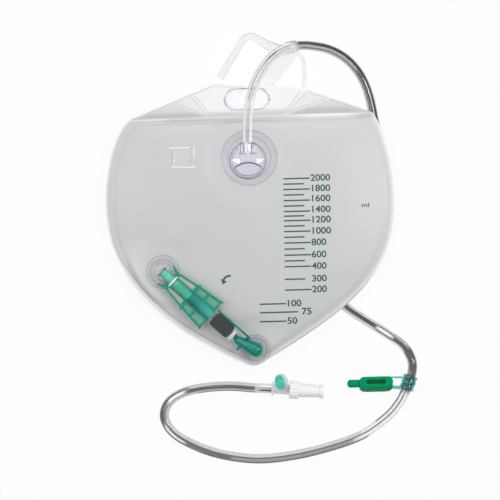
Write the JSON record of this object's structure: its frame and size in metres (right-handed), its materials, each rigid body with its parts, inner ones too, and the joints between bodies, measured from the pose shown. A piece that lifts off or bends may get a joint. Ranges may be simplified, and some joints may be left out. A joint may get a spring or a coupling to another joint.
{
  "type": "urine drainage bag",
  "caption": "Flat drainage bag with hanger, looped clear tube, sheet clip, capped connector with sample port, and a lever-clamped bottom outlet stored in its dock.",
  "frame": {"origin": "on the floor under the middle of the bag and hanger, the tube and its pieces left out: halfway between the bag's lower tip and the hanger's top, and between the bag's two sides", "axes": "+X to the bag's right, +Y from the outlet tip to the hanger, +Z out of the bag's printed front, up as it lies on its back"},
  "size_m": [0.3077, 0.4321, 0.0337],
  "materials": {
    "front_film": "smooth translucent film",
    "back_film": "smooth translucent film",
    "header_stiffener": "smooth white sheet",
    "hanger": "clear moulded polypropylene",
    "chamber_flange": "clear soft vinyl with a lavender tint",
    "chamber_dome": "clear rigid vinyl",
    "reflux_flap": "soft film",
    "vent_patch": "fine porous sheet",
    "drainage_tube": "clear soft vinyl tube",
    "sheet_clip": "moulded green plastic",
    "connector_body": "clear rigid plastic",
    "sample_port_septum": "smooth rubber",
    "catheter_adapter": "clear rigid plastic",
    "adapter_cap": "frosted translucent plastic",
    "port_flange": "clear soft vinyl",
    "outlet_elbow": "glossy teal plastic",
    "drain_tube": "clear soft tube",
    "tube_stop": "smooth white plastic",
    "clamp_lever": "glossy green plastic",
    "lever_pad": "matte dark grey plastic",
    "outlet_nozzle": "translucent light green plastic",
    "nozzle_seal": "smooth white elastomer",
    "outlet_guard": "glossy green plastic with thin webs",
    "outlet_dock": "clear soft vinyl"
  },
  "bodies": {
    "bag": {"front_film": "front_film", "back_film": "back_film", "header_stiffener": "header_stiffener", "hanger": "hanger", "chamber_flange": "chamber_flange", "chamber_dome": "chamber_dome", "reflux_flap": "reflux_flap", "vent_patch": "vent_patch", "drainage_tube": "drainage_tube", "connector_body": "connector_body", "sample_port_septum": "sample_port_septum", "catheter_adapter": "catheter_adapter", "port_flange": "port_flange", "outlet_elbow": "outlet_elbow", "drain_tube": "drain_tube", "tube_stop": "tube_stop", "outlet_dock": "outlet_dock"},
    "lever": {"clamp_lever": "clamp_lever", "lever_pad": "lever_pad"},
    "outlet": {"outlet_nozzle": "outlet_nozzle", "nozzle_seal": "nozzle_seal", "outlet_guard": "outlet_guard"},
    "cap": {"adapter_cap": "adapter_cap"},
    "clip": {"sheet_clip": "sheet_clip"}
  },
  "joints": [
    {"name": "lever_lift", "type": "hinge", "parent": "bag", "child": "lever", "pos_m": [-0.01101, -0.14386, 0.0248], "axis": [0.682, 0.7314, 0], "range_deg": [0, 90]},
    {"name": "outlet_release", "type": "slide", "parent": "bag", "child": "outlet", "axis": [0.7314, -0.682, 0], "range_m": [0, 0.014], "deforming": ["drain_tube"]},
    {"name": "cap_pull", "type": "slide", "parent": "bag", "child": "cap", "axis": [0.9969, -0.0785, 0], "range_m": [0, 0.022]},
    {"name": "clip_swivel", "type": "hinge", "parent": "bag", "child": "clip", "pos_m": [0.15395, -0.18807, 0.0075], "axis": [0.3603, 0.9328, -0.0004], "range_deg": [0, 90]}
  ]
}
